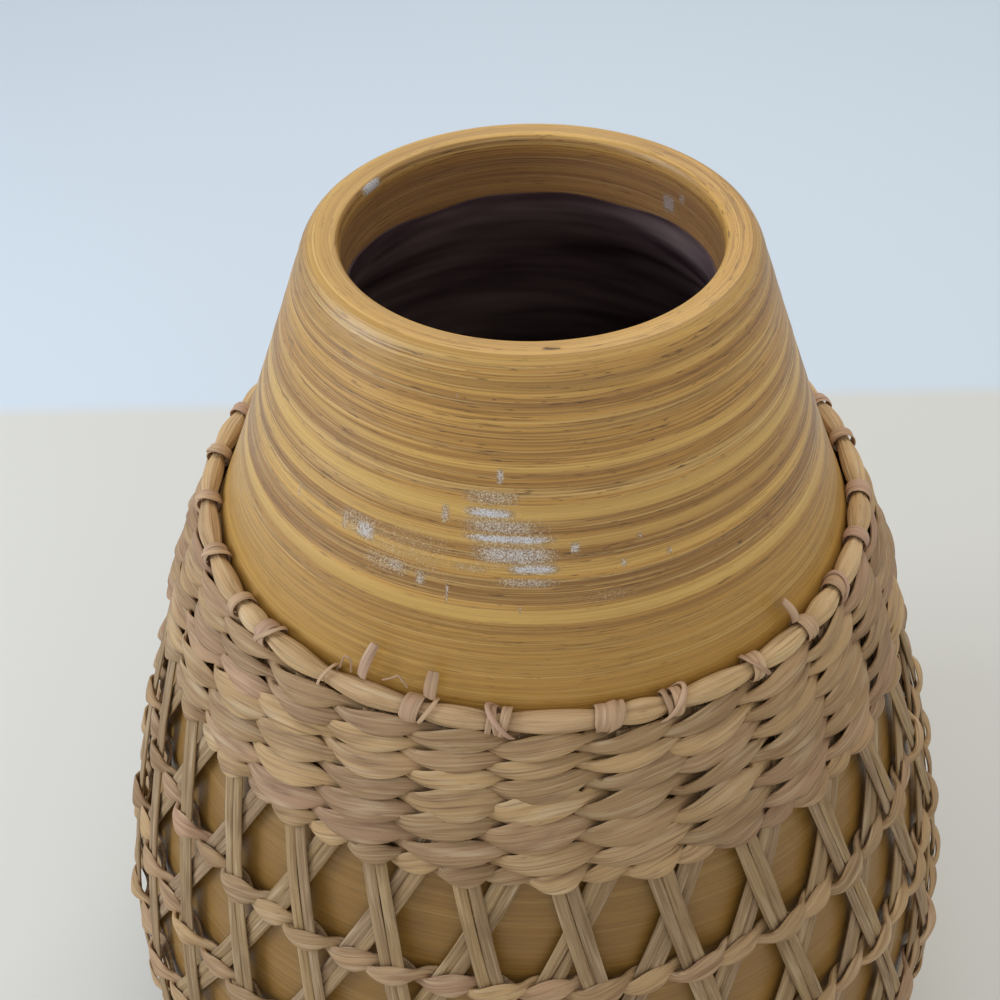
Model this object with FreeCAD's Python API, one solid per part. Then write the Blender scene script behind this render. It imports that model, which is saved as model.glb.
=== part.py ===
"""A spun bamboo vase with a sleeve of twined rush round its body.

The vase is a coil of thin bamboo strips, glued into a shell and turned smooth. It has a straight mouth, a
conical neck, a full belly and a flat coiled base, and dark lacquer lines the inside below the mouth.
The sleeve is woven on the vase and can't come off. Pairs of flat rush blades, the stakes, run from a bound
bundle at the collar to another at the foot. One set leans to the right as it falls and lies outside, the
other leans to the left and lies inside, so they cross in an open lattice. Rows of two twined strands hold
them: a close band under the collar, single rows down the lattice, and a close band above the foot.

Millimetres, +Z up. The origin is the centre of the flat base.
"""

import FreeCAD, Part
import math
import os

V = FreeCAD.Vector

# Bamboo vase: heights above the base and outside radii
vase_height = 300.0
neck_height = 74.5
collar_radius = 80.0
flank_height = 137.0
flank_radius = 110.9
belly_height = 68.0
belly_radius = 122.3
foot_radius = 78.0

# Change of the outside radius with height at each of those heights
rim_slope = -0.375
collar_slope = -0.43
flank_slope = -0.28
belly_slope = 0.0
foot_slope = 1.2

# Wall, mouth and base of the bamboo vase
wall_thickness = 9.0
mouth_radius = 43.5
mouth_depth = 15.6
lip_width = 7.7
lip_inner_rounding = 2.0
lip_outer_rounding = 3.8
foot_rounding = 2.5
floor_thickness = 9.0
foot_ring_width = 12.0
glue_gap = 0.1
lacquer_gap = 0.3
lacquer_thickness = 0.5

# Rush sleeve: counts
stake_count = 28
lattice_tiers = 5
lower_band_rows = 5

# Rush sleeve: sizes of its blades and strands, measured along and away from the wall
rush_gap = 0.2
blade_width = 3.1
blade_thickness = 1.2
pair_gap = 0.2
band_weft_width = 5.3
lattice_weft_width = 4.6
weft_thickness = 1.4
weft_crossing_thickness = 1.7
bundle_radius = 2.6
bundle_waist_radius = 2.2
binder_thickness = 0.6
binder_length = 6.0
binder_clearance = 0.25
foot_bundle_rise = 11.0

# Direction of the first outer stake from +X at the lattice's first row, and how far an outer stake turns round
# the vase from one lattice row to the next, in degrees
first_stake_direction = -88.0
outer_lean = 4.2

# Loose rush ends that stand on the collar bundle: direction in degrees from +X, length, and lean at the tip
loose_end_directions = (-117.5, -109.5, -44.5)
loose_end_lengths = (9.0, 6.0, 7.0)
loose_end_leans = (3.0, 0.6, -2.4)
loose_end_width = 2.4
loose_end_thickness = 0.8

# Widths of the upper band's rows, as shares of the usual width there
upper_row_shares = (0.8, 0.8, 0.95, 1.2, 1.15, 1.1)

# Shares that shape a twined strand: how long it stays in front or behind, its width where the two cross and
# their shift there and behind, as shares of its full width, and where a close row sits between two stakes
plateau_share = 1.6
crossing_width_share = 0.42
crossing_rise_share = 0.275
turned_under_share = 0.25
middle_share = 0.42

# Where the binders sit between two stakes at the collar, as a share of the stakes' spacing
collar_binder_share = 0.5

# Width and thickness of a loose end's tip, as a share of those of its root
tip_share = 0.4

# Width of a blade's flat faces, as a share of its full width
flat_share = 0.6

# How far stakes run on at their lean beyond the lattice's first and last row, as a share of the rows' spacing
run_on_share = 0.5

# How much of the lip beside its inner rounding the outer one may take, as a share
lip_rounding_share = 0.75

# Fineness of the curves
profile_steps = 1500
blade_sections = 24
weft_poles_per_turn = 12
section_poles = 8

# How near two edges have to be to count as the same one
same_edge = 0.0001

full_turn = 2 * math.pi
spacing = full_turn / stake_count
collar_height = vase_height - neck_height
rim_radius = mouth_radius + lip_width
base_disc_radius = foot_radius - foot_ring_width
upper_band_rows = len(upper_row_shares)


class Profile:
    """A smooth outline made of cubic spans between stations of (height, radius, slope), from the top down."""

    def __init__(self, stations):
        self.stations = stations

    def span(self, height):
        pairs = list(zip(self.stations, self.stations[1:]))
        for upper, lower in pairs:
            if height >= lower[0]:
                return upper, lower
        return pairs[-1]

    def radius(self, height):
        (z0, r0, m0), (z1, r1, m1) = self.span(height)
        rise = z1 - z0
        t = (height - z0) / rise
        start, end = (1 - t) ** 2, t**2
        return (
            (1 + 2 * t) * start * r0
            + t * start * rise * m0
            + (3 - 2 * t) * end * r1
            - (1 - t) * end * rise * m1
        )

    def slope(self, height):
        (z0, r0, m0), (z1, r1, m1) = self.span(height)
        rise = z1 - z0
        t = (height - z0) / rise
        bend = 6 * t * (1 - t) * (r1 - r0) / rise
        return bend + (1 - t) * (1 - 3 * t) * m0 + t * (3 * t - 2) * m1

    def edges(self):
        """The same spans as edges in the XZ plane."""
        made = []
        for (z0, r0, m0), (z1, r1, m1) in zip(self.stations, self.stations[1:]):
            third = (z1 - z0) / 3
            curve = Part.BezierCurve()
            curve.setPoles(
                [
                    V(r0, 0, z0),
                    V(r0 + m0 * third, 0, z0 + third),
                    V(r1 - m1 * third, 0, z1 - third),
                    V(r1, 0, z1),
                ]
            )
            made.append(curve.toShape())
        return made


outside = Profile(
    [
        (vase_height, rim_radius, rim_slope),
        (collar_height, collar_radius, collar_slope),
        (flank_height, flank_radius, flank_slope),
        (belly_height, belly_radius, belly_slope),
        (0.0, foot_radius, foot_slope),
    ]
)


def inner_station(height, cover=0.0):
    """A station of the inside: the outside at that height, less the wall and any coat on it."""
    slope = outside.slope(height)
    stretch = math.sqrt(1 + slope**2)
    return height, outside.radius(height) - (wall_thickness + cover) * stretch, slope


def inside_profile(cover=0.0):
    """The inside from the end of the straight mouth down to the floor, with a coat of that thickness on it."""
    mouth_end = (vase_height - mouth_depth, mouth_radius - cover, 0.0)
    throat_height = (mouth_end[0] + collar_height) / 2
    heights = [throat_height, collar_height, flank_height, belly_height, floor_thickness + cover]
    return Profile([mouth_end] + [inner_station(z, cover) for z in heights])


def line(start, end):
    """A straight edge in the XZ plane between two (radius, height) points."""
    return Part.makeLine(V(start[0], 0, start[1]), V(end[0], 0, end[1]))


def revolved(edges):
    """The solid that a closed outline in the XZ plane sweeps round the Z axis."""
    wire = Part.Wire(Part.sortEdges(edges)[0])
    solid = Part.Face(wire).revolve(V(0, 0, 0), V(0, 0, 1), math.degrees(full_turn))
    return oriented(solid)


def oriented(shape):
    """The shape as a solid that faces outwards."""
    solid = shape if shape.ShapeType == "Solid" else Part.Solid(shape.Shells[0])
    if solid.Volume < 0:
        solid.reverse()
    return solid


def ring_edges(solid, radius, height):
    """The circular edges of a turned solid at that radius and height."""
    found = []
    for edge in solid.Edges:
        box = edge.BoundBox
        level = abs(box.ZMin - height) < same_edge and abs(box.ZMax - height) < same_edge
        if level and abs(box.XMax - radius) < same_edge * radius:
            found.append(edge)
    return found


# The bamboo vase
def bamboo_wall():
    inside = inside_profile()
    floor_height, floor_radius, _ = inside.stations[-1]
    seat_radius = base_disc_radius + glue_gap
    mouth_end = (mouth_radius, vase_height - mouth_depth)
    corners = [
        (foot_radius, 0.0),
        (seat_radius, 0.0),
        (seat_radius, floor_height),
        (floor_radius, floor_height),
    ]
    edges = outside.edges() + inside.edges()
    edges += [line(a, b) for a, b in zip(corners, corners[1:])]
    edges.append(line(mouth_end, (mouth_radius, vase_height)))
    edges.append(line((mouth_radius, vase_height), (rim_radius, vase_height)))
    wall = revolved(edges)
    outer_rounding = min(lip_outer_rounding, (lip_width - lip_inner_rounding) * lip_rounding_share)
    wall = wall.makeFillet(outer_rounding, ring_edges(wall, rim_radius, vase_height))
    wall = wall.makeFillet(lip_inner_rounding, ring_edges(wall, mouth_radius, vase_height))
    return wall.makeFillet(foot_rounding, ring_edges(wall, foot_radius, 0.0))


def base_disc():
    return Part.makeCylinder(base_disc_radius, floor_thickness)


def lacquer_lining():
    """The dark coat from the end of the mouth to the floor, as a thin closed shell."""
    wall_side = inside_profile(lacquer_gap)
    room_side = inside_profile(lacquer_gap + lacquer_thickness)
    mouth_height, mouth_outer_radius, _ = wall_side.stations[0]
    mouth_inner_radius = room_side.stations[0][1]
    floor_height, floor_radius, _ = wall_side.stations[-1]
    coat_height, coat_radius, _ = room_side.stations[-1]
    edges = wall_side.edges() + room_side.edges()
    edges.append(line((mouth_outer_radius, mouth_height), (mouth_inner_radius, mouth_height)))
    edges.append(line((floor_radius, floor_height), (0.0, floor_height)))
    edges.append(line((0.0, floor_height), (0.0, coat_height)))
    edges.append(line((0.0, coat_height), (coat_radius, coat_height)))
    return revolved(edges)


# The way down the outside of the wall, from the collar to the base
def trace():
    """Matching lists of the way down the wall from the collar and of the height there."""
    heights = [collar_height * (1 - i / profile_steps) for i in range(profile_steps + 1)]
    ways = [0.0]
    for upper, lower in zip(heights, heights[1:]):
        fall = upper - lower
        ways.append(ways[-1] + math.hypot(fall, outside.radius(upper) - outside.radius(lower)))
    return ways, heights


trace_ways, trace_heights = trace()
wall_way = trace_ways[-1]


def height_at(way):
    """The height of the wall that far down from the collar."""
    low, high = 0, len(trace_ways) - 1
    while high - low > 1:
        middle = (low + high) // 2
        if trace_ways[middle] <= way:
            low = middle
        else:
            high = middle
    share = (way - trace_ways[low]) / (trace_ways[high] - trace_ways[low])
    return trace_heights[low] + share * (trace_heights[high] - trace_heights[low])


def wall_frame(way):
    """(radius, height) of the wall there, the unit way down it and the unit way out of it."""
    height = height_at(way)
    slope = outside.slope(height)
    stretch = math.sqrt(1 + slope**2)
    return (
        (outside.radius(height), height),
        (-slope / stretch, -1 / stretch),
        (1 / stretch, -slope / stretch),
    )


def place(frame, down, out, angle):
    """The point that lies down and out from a wall frame, turned to that angle."""
    point, fall, normal = frame
    radius = point[0] + fall[0] * down + normal[0] * out
    height = point[1] + fall[1] * down + normal[1] * out
    return V(radius * math.cos(angle), radius * math.sin(angle), height)


# Layers of the sleeve, from the wall outwards
back_weft_out = rush_gap + weft_thickness / 2
inner_stake_out = back_weft_out + weft_thickness / 2 + rush_gap + blade_thickness / 2
outer_stake_out = inner_stake_out + blade_thickness + rush_gap
front_weft_out = outer_stake_out + blade_thickness / 2 + rush_gap + weft_thickness / 2
over_inner_out = inner_stake_out + blade_thickness / 2 + rush_gap + weft_thickness / 2
binder_radius = bundle_waist_radius + binder_clearance + binder_thickness
bundle_reach = max(bundle_radius, binder_radius)
bundle_out = bundle_reach + rush_gap

# Places of the rows, as ways down the wall from the collar bundle
band_top_way = bundle_reach + rush_gap
upper_row_widths = [share * band_weft_width for share in upper_row_shares]
upper_row_ways = [
    band_top_way + sum(upper_row_widths[:row]) + row * rush_gap + width / 2
    for row, width in enumerate(upper_row_widths)
]
lattice_start_way = upper_row_ways[-1] + upper_row_widths[-1] / 2 + rush_gap + lattice_weft_width / 2
foot_bundle_way = wall_way - foot_bundle_rise
lower_row_pitch = band_weft_width + rush_gap
lower_band_way = foot_bundle_way - band_top_way - lower_band_rows * lower_row_pitch
lattice_end_way = lower_band_way - lattice_weft_width / 2
lattice_pitch = (lattice_end_way - lattice_start_way) / lattice_tiers
stake_top_way = bundle_reach + rush_gap
stake_bottom_way = foot_bundle_way - bundle_reach - rush_gap


def tiers_down(way):
    """Lattice rows passed at that way down the wall. Above and below the lattice the stakes run straight."""
    tiers = (way - lattice_start_way) / lattice_pitch
    return min(max(tiers, -run_on_share), lattice_tiers + run_on_share)


def outer_turn(way):
    """Direction of the first outer stake there."""
    return math.radians(first_stake_direction + outer_lean * tiers_down(way))


def inner_turn(way):
    """Direction of the first inner stake: it loses one stake spacing to the outer ones at every row."""
    return outer_turn(way) + spacing * (0.5 - tiers_down(way))


def ring_surface(way, repeats, poles_per_repeat, start, section):
    """A closed tube round the vase. section(phase) gives down, out, half width and half thickness at a phase
    from 0 to 1 of each repeat. The poles lie a little outside, so that the tube itself has those sizes."""
    frame = wall_frame(way)
    gain = 3 / (2 + math.cos(full_turn / section_poles))
    total = repeats * poles_per_repeat
    poles = []
    for i in range(total):
        down, out, half_width, half_thickness = section(i % poles_per_repeat / poles_per_repeat)
        angle = start + full_turn * i / total
        row = []
        for j in range(section_poles):
            around = full_turn * j / section_poles
            row.append(
                place(
                    frame,
                    down + gain * half_width * math.cos(around),
                    out + gain * half_thickness * math.sin(around),
                    angle,
                )
            )
        poles.append(row)
    surface = Part.BSplineSurface()
    surface.buildFromPolesMultsKnots(
        poles,
        [1] * (total + 1),
        [1] * (section_poles + 1),
        [float(i) for i in range(total + 1)],
        [float(j) for j in range(section_poles + 1)],
        True,
        True,
        3,
        3,
    )
    return oriented(Part.Solid(Part.Shell([surface.toShape()])))


def swing(turn, front, back):
    """Distance out of the wall of a strand that goes from front to back in a turn, flat at both."""
    level = min(max(plateau_share * math.cos(turn), -1.0), 1.0)
    return (front + back) / 2 + (front - back) / 2 * level


def twined_section(phase, full_width, front, back):
    """Section of a twined strand: broad where it passes in front, narrow and thick where the two cross."""
    turn = full_turn * phase
    showing = max(math.cos(turn), -turned_under_share * math.cos(turn))
    width = full_width * (crossing_width_share + (1 - crossing_width_share) * showing)
    thickness = weft_crossing_thickness + (weft_thickness - weft_crossing_thickness) * abs(math.cos(turn))
    rise = crossing_rise_share * full_width * math.sin(turn)
    return -rise, swing(turn, front, back), width / 2, thickness / 2


def close_row(way, width, strand):
    """One strand of a row in a close band. It passes in front of every second stake of both sets, and the
    other strand passes in front of the rest."""
    apart = inner_turn(way) - outer_turn(way)
    nearest = apart - spacing * round(apart / spacing)
    start = outer_turn(way) + nearest * middle_share + strand * spacing
    return ring_surface(
        way,
        stake_count // 2,
        weft_poles_per_turn,
        start,
        lambda phase: twined_section(phase, width, front_weft_out, back_weft_out),
    )


def lattice_row(way, strand):
    """One strand of a row in the open lattice. The first passes in front of the outer stakes and behind the
    inner ones, the second the other way round."""
    start = outer_turn(way) + strand * spacing / 2
    front = (front_weft_out, over_inner_out)[strand]
    return ring_surface(
        way,
        stake_count,
        weft_poles_per_turn,
        start,
        lambda phase: twined_section(phase, lattice_weft_width, front, back_weft_out),
    )


def bundle(way, start):
    """A round bundle of rush that swells between its binders, the first of which is in that direction."""

    def section(phase):
        swell = (1 - math.cos(full_turn * phase)) / 2
        radius = bundle_waist_radius + (bundle_radius - bundle_waist_radius) * swell
        return 0.0, bundle_out, radius, radius

    return ring_surface(way, stake_count, section_poles, start, section)


def binders(way, start):
    """Short wraps round the bundle, as many as stakes, the first in that direction."""
    frame = wall_frame(way)
    inner_radius = bundle_waist_radius + binder_clearance
    made = []
    for k in range(stake_count):
        angle = start + k * spacing
        centre = place(frame, 0.0, bundle_out, angle)
        along = V(-math.sin(angle), math.cos(angle), 0)
        end = centre - along * (binder_length / 2)
        wrap = Part.makeCylinder(binder_radius, binder_length, end, along)
        made.append(wrap.cut(Part.makeCylinder(inner_radius, binder_length, end, along)))
    return Part.makeCompound(made)


def blade_outline(frame, down, out, angle, width, thickness):
    """The section of a flat blade there: two flat faces that slope to an edge on each side."""
    centre = place(frame, down, out, angle)
    edge = V(-math.sin(angle), math.cos(angle), 0) * (width / 2)
    flat = edge * flat_share
    outward = place(frame, down, out + thickness / 2, angle) - centre
    corners = (-edge, outward - flat, outward + flat, edge, flat - outward, -flat - outward)
    return Part.makePolygon([centre + corner for corner in corners + corners[:1]])


def blade(turn_at, out, side):
    """One blade of the stake that starts at angle 0. side is -1 or 1 for its place in the pair."""
    wires = []
    for i in range(blade_sections + 1):
        way = stake_top_way + (stake_bottom_way - stake_top_way) * i / blade_sections
        frame = wall_frame(way)
        sideways = side * (blade_width + pair_gap) / 2
        angle = turn_at(way) + sideways / (frame[0][0] + frame[2][0] * out)
        wires.append(blade_outline(frame, 0.0, out, angle, blade_width, blade_thickness))
    return oriented(Part.makeLoft(wires, True, False))


def stakes(turn_at, out, side):
    """The blades on one side of every stake of a set."""
    first = blade(turn_at, out, side)
    made = []
    for k in range(stake_count):
        copy = first.copy()
        copy.rotate(V(0, 0, 0), V(0, 0, 1), math.degrees(k * spacing))
        made.append(copy)
    return Part.makeCompound(made)


def loose_end(direction, length, lean):
    """A cut rush end that stands on the collar bundle against the neck and narrows to its tip."""
    frame = wall_frame(0.0)
    wires = []
    for rise in (0.0, 0.5, 1.0):
        angle = math.radians(direction) + lean * rise / collar_radius
        narrowing = 1 - (1 - tip_share) * rise**2
        wires.append(
            blade_outline(
                frame,
                -bundle_reach - rush_gap - length * rise,
                bundle_out,
                angle,
                loose_end_width * narrowing,
                loose_end_thickness * narrowing,
            )
        )
    return oriented(Part.makeLoft(wires, True, False))


def loose_ends():
    places = zip(loose_end_directions, loose_end_lengths, loose_end_leans)
    return Part.makeCompound([loose_end(*place) for place in places])


# Every piece under its name
def pieces():
    yield "bamboo_wall", bamboo_wall()
    yield "base_disc", base_disc()
    yield "lacquer_lining", lacquer_lining()
    collar_start = outer_turn(0.0) + spacing * collar_binder_share
    yield "collar_bundle", bundle(0.0, collar_start)
    yield "collar_binders", binders(0.0, collar_start)
    yield "loose_ends", loose_ends()
    for row in range(upper_band_rows):
        for strand in range(2):
            shape = close_row(upper_row_ways[row], upper_row_widths[row], strand)
            yield f"upper_row_{row + 1}_strand_{'ab'[strand]}", shape
    for row in range(lattice_tiers + 1):
        way = lattice_start_way + row * lattice_pitch
        for strand in range(2):
            yield f"lattice_row_{row + 1}_strand_{'ab'[strand]}", lattice_row(way, strand)
    for row in range(lower_band_rows):
        way = lower_band_way + rush_gap + band_weft_width / 2 + row * lower_row_pitch
        for strand in range(2):
            yield f"lower_row_{row + 1}_strand_{'ab'[strand]}", close_row(way, band_weft_width, strand)
    for side, name in ((-1, "left"), (1, "right")):
        yield f"outer_stakes_{name}_blades", stakes(outer_turn, outer_stake_out, side)
        yield f"inner_stakes_{name}_blades", stakes(inner_turn, inner_stake_out, side)
    foot_start = outer_turn(foot_bundle_way)
    yield "foot_bundle", bundle(foot_bundle_way, foot_start)
    yield "foot_binders", binders(foot_bundle_way, foot_start)


os.makedirs("parts", exist_ok=True)
for name, shape in pieces():
    shape.exportStep(f"parts/{name}.step")
    print(f"{name}: {len(shape.Solids)} solids, {shape.Volume:.1f} mm3, valid {shape.isValid()}")
print(f"wall way {wall_way:.1f}, lattice start {lattice_start_way:.2f}, lattice pitch {lattice_pitch:.2f}")
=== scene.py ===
"""A spun bamboo vase with a sleeve of twined rush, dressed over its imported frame.

Metres, +Z up, the origin at the centre of the base. The front of the vase looks along -Y.
"""

import math

import bpy
import numpy as np
from mathutils import Matrix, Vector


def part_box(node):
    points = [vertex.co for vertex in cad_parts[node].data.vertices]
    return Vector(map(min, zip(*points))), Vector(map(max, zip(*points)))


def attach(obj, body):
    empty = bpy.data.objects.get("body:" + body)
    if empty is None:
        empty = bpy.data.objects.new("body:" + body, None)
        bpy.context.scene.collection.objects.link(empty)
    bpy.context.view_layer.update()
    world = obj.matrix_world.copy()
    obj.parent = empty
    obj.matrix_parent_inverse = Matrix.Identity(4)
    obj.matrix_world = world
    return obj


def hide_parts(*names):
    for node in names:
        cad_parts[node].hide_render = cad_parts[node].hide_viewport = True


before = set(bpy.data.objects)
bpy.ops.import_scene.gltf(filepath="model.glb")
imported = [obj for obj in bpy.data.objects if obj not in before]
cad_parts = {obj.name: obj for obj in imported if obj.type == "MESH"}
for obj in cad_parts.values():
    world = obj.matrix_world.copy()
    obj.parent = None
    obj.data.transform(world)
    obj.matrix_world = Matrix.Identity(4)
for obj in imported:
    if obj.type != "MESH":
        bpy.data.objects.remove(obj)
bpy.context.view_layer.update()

# The vase is a coil of thin bamboo strips, glued into a shell and turned smooth on a lathe, with a thin satin
# coat. The strips show as fine rings of straw and brown, with short dark gaps between their fibres.
mm = 0.001
full_turn = 2 * math.pi
front = -math.pi / 2
random = np.random.default_rng(7)

vase_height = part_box("bamboo_wall")[1][2]
belly_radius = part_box("bamboo_wall")[1][0]
rim_radius = 51.2 * mm
collar_height = 225.5 * mm
collar_radius = 80.0 * mm
flank_height = 137.0 * mm
flank_radius = 110.9 * mm
belly_height = 68.0 * mm
foot_radius = 78.0 * mm
outside_stations = (
    (0.0, foot_radius, 1.2),
    (belly_height, belly_radius, 0.0),
    (flank_height, flank_radius, -0.28),
    (collar_height, collar_radius, -0.43),
    (vase_height, rim_radius, -0.375),
)
wall_thickness = 9.0 * mm
mouth_radius = 43.5 * mm
mouth_depth = 15.6 * mm
mouth_end = vase_height - mouth_depth
lip_inner_rounding = 2.6 * mm
lip_outer_rounding = 4.6 * mm
foot_rounding = 3.0 * mm
floor_thickness = 9.0 * mm
seat_radius = 66.1 * mm


def cubic(stations, height):
    """Radius and slope at each height, on cubic spans between stations of (height, radius, slope)."""
    table = np.array(stations)
    low = np.clip(np.searchsorted(table[:, 0], height, side="right") - 1, 0, len(table) - 2)
    z0, r0, m0 = np.moveaxis(table[low], -1, 0)
    z1, r1, m1 = np.moveaxis(table[low + 1], -1, 0)
    rise = z1 - z0
    t = (height - z0) / rise
    radius = (1 + 2 * t) * (1 - t) ** 2 * r0 + t * (1 - t) ** 2 * rise * m0
    radius = radius + (3 - 2 * t) * t**2 * r1 - (1 - t) * t**2 * rise * m1
    slope = 6 * t * (1 - t) * (r1 - r0) / rise + (1 - t) * (1 - 3 * t) * m0 + t * (3 * t - 2) * m1
    return radius, slope


def between(start, end, step):
    """Points on the straight line from start to end, about a step apart."""
    start, end = np.array(start), np.array(end)
    count = max(2, int(round(float(np.hypot(*(end - start))) / step)) + 1)
    return start + (end - start) * np.linspace(0, 1, count)[:, None]


def bend(start, corner, end, count):
    """Points on a quadratic curve from start to end that leans on the corner."""
    start, corner, end = np.array(start), np.array(corner), np.array(end)
    t = np.linspace(0, 1, count)[:, None]
    return (1 - t) ** 2 * start + 2 * t * (1 - t) * corner + t**2 * end


def inside_stations(cover):
    """The inside from the floor to the end of the straight mouth: the outside less the wall and a cover."""
    neck_middle = (collar_height + mouth_end) / 2
    heights = [floor_thickness + cover, belly_height, flank_height, collar_height, neck_middle]
    stations = []
    for height in heights:
        radius, slope = cubic(outside_stations, height)
        stations.append((height, float(radius - (wall_thickness + cover) * np.hypot(1, slope)), float(slope)))
    return stations + [(mouth_end, mouth_radius - cover, 0.0)]


def profile_points(stations, heights):
    """Points (radius, height) on those spans at those heights."""
    return np.stack([cubic(stations, heights)[0], heights], axis=-1)


def distinct(points):
    """The same outline without points that repeat the one before."""
    apart = np.hypot(*np.diff(points, axis=0, prepend=points[-1:]).T)
    return points[apart > 1e-7]


def travelled(points):
    """Distance along an outline up to each of its points."""
    return np.concatenate([[0], np.cumsum(np.hypot(*np.diff(points, axis=0).T))])


def directions(columns):
    """The direction of each column round the axis: even steps of a full turn, from the front on."""
    return front + full_turn * np.arange(columns) / columns


def turned(radius, height, columns):
    """Points (1, row, column, 3): each point of an outline carried round the axis. Radius and height may
    already differ from column to column."""
    angle = directions(columns)
    radius = np.broadcast_to(np.asarray(radius).reshape(len(radius), -1), (len(radius), columns))
    height = np.broadcast_to(np.asarray(height).reshape(len(height), -1), (len(height), columns))
    return np.stack([radius * np.cos(angle), radius * np.sin(angle), height], axis=-1)[None]


def new_piece(name, grids, material, ring=False, **attributes):
    """A closed piece from points by (tube, row, column). Columns close round a tube. Rows close into a ring,
    or the first and last row get a lid. All faces turn outwards, judged by the sign of the volume."""
    tubes, rows, columns, _ = grids.shape
    number = np.arange(tubes * rows * columns).reshape(tubes, rows, columns)
    here, ahead = (number, np.roll(number, -1, axis=1)) if ring else (number[:, :-1], number[:, 1:])
    quads = np.stack([here, ahead, np.roll(ahead, -1, axis=2), np.roll(here, -1, axis=2)], axis=-1)
    quads = quads.reshape(-1, 4)
    lids = np.zeros((0, columns), int) if ring else np.concatenate([number[:, 0], number[:, -1, ::-1]])
    points = grids.reshape(-1, 3)
    a, b, c, d = points[quads].transpose(1, 0, 2)
    volume = np.einsum("ij,ij->", a, np.cross(b, c) + np.cross(c, d))
    if volume < 0:
        quads, lids = quads[:, ::-1], lids[:, ::-1]
    mesh = bpy.data.meshes.new(name)
    mesh.from_pydata(points.tolist(), [], quads.tolist() + lids.tolist())
    for title, values in attributes.items():
        spread = np.broadcast_to(values, grids.shape[:3]).astype(np.float32)
        mesh.attributes.new(title, "FLOAT", "POINT").data.foreach_set("value", spread.ravel())
    mesh.shade_smooth()
    mesh.set_sharp_from_angle(angle=math.radians(50))
    mesh.materials.append(material)
    piece = bpy.data.objects.new(name, mesh)
    bpy.context.scene.collection.objects.link(piece)
    return piece


def colour(code):
    """The linear colour of an sRGB hex value."""
    shares = [int(code[i : i + 2], 16) / 255 for i in (1, 3, 5)]
    return [s / 12.92 if s <= 0.04045 else ((s + 0.055) / 1.055) ** 2.4 for s in shares] + [1.0]


def add(tree, kind, inputs=None, **settings):
    """Adds a node with its settings. Inputs are values, or sockets to link, by name or number."""
    made = tree.nodes.new(kind)
    for name, value in settings.items():
        setattr(made, name, value)
    for key, value in (inputs or {}).items():
        if isinstance(value, bpy.types.NodeSocket):
            tree.links.new(value, made.inputs[key])
        else:
            made.inputs[key].default_value = value
    return made


def new_material(name):
    """An empty node material and its tree."""
    material = bpy.data.materials.new(name)
    material.use_nodes = True
    material.node_tree.nodes.clear()
    return material, material.node_tree


def blended(tree, first, second, value, low, high, most=1.0):
    """The first colour with the second over it: its share rises from none to the most while the value goes
    from low to high. Each colour is a hex value or a socket."""
    rise = {"Value": value, "From Min": low, "From Max": high, "To Max": most}
    share = add(tree, "ShaderNodeMapRange", rise)
    ends = [colour(end) if isinstance(end, str) else end for end in (first, second)]
    blend = {"Factor": share.outputs["Result"], 6: ends[0], 7: ends[1]}
    return add(tree, "ShaderNodeMix", blend, data_type="RGBA").outputs[2]


def fibrous(tree, place, length, width, detail=2.0):
    """Noise drawn out to fibres of that length and width: the place is scaled by one over each."""
    stretch = (1 / length, 1 / length, 1 / width)
    drawn = add(tree, "ShaderNodeVectorMath", {0: place, 1: stretch}, operation="MULTIPLY")
    noise = add(tree, "ShaderNodeTexNoise", {"Vector": drawn.outputs[0], "Scale": 1.0, "Detail": detail})
    return noise.outputs["Fac"]


def streaked(tree, place, tint, layers):
    """The tint after each layer of streaks. A layer is fibres of a length and width, and its colour comes in,
    up to its amount, where their noise rises from low to high."""
    for length, width, low, high, amount, code in layers:
        tint = blended(tree, tint, code, fibrous(tree, place, length, width), low, high, amount)
    return tint


def ridged(tree, place, length, width, depth):
    """A normal bumped by fibres of that length, width and depth."""
    height = fibrous(tree, place, length, width, detail=3.0)
    return add(tree, "ShaderNodeBump", {"Height": height, "Distance": depth}).outputs["Normal"]


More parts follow.
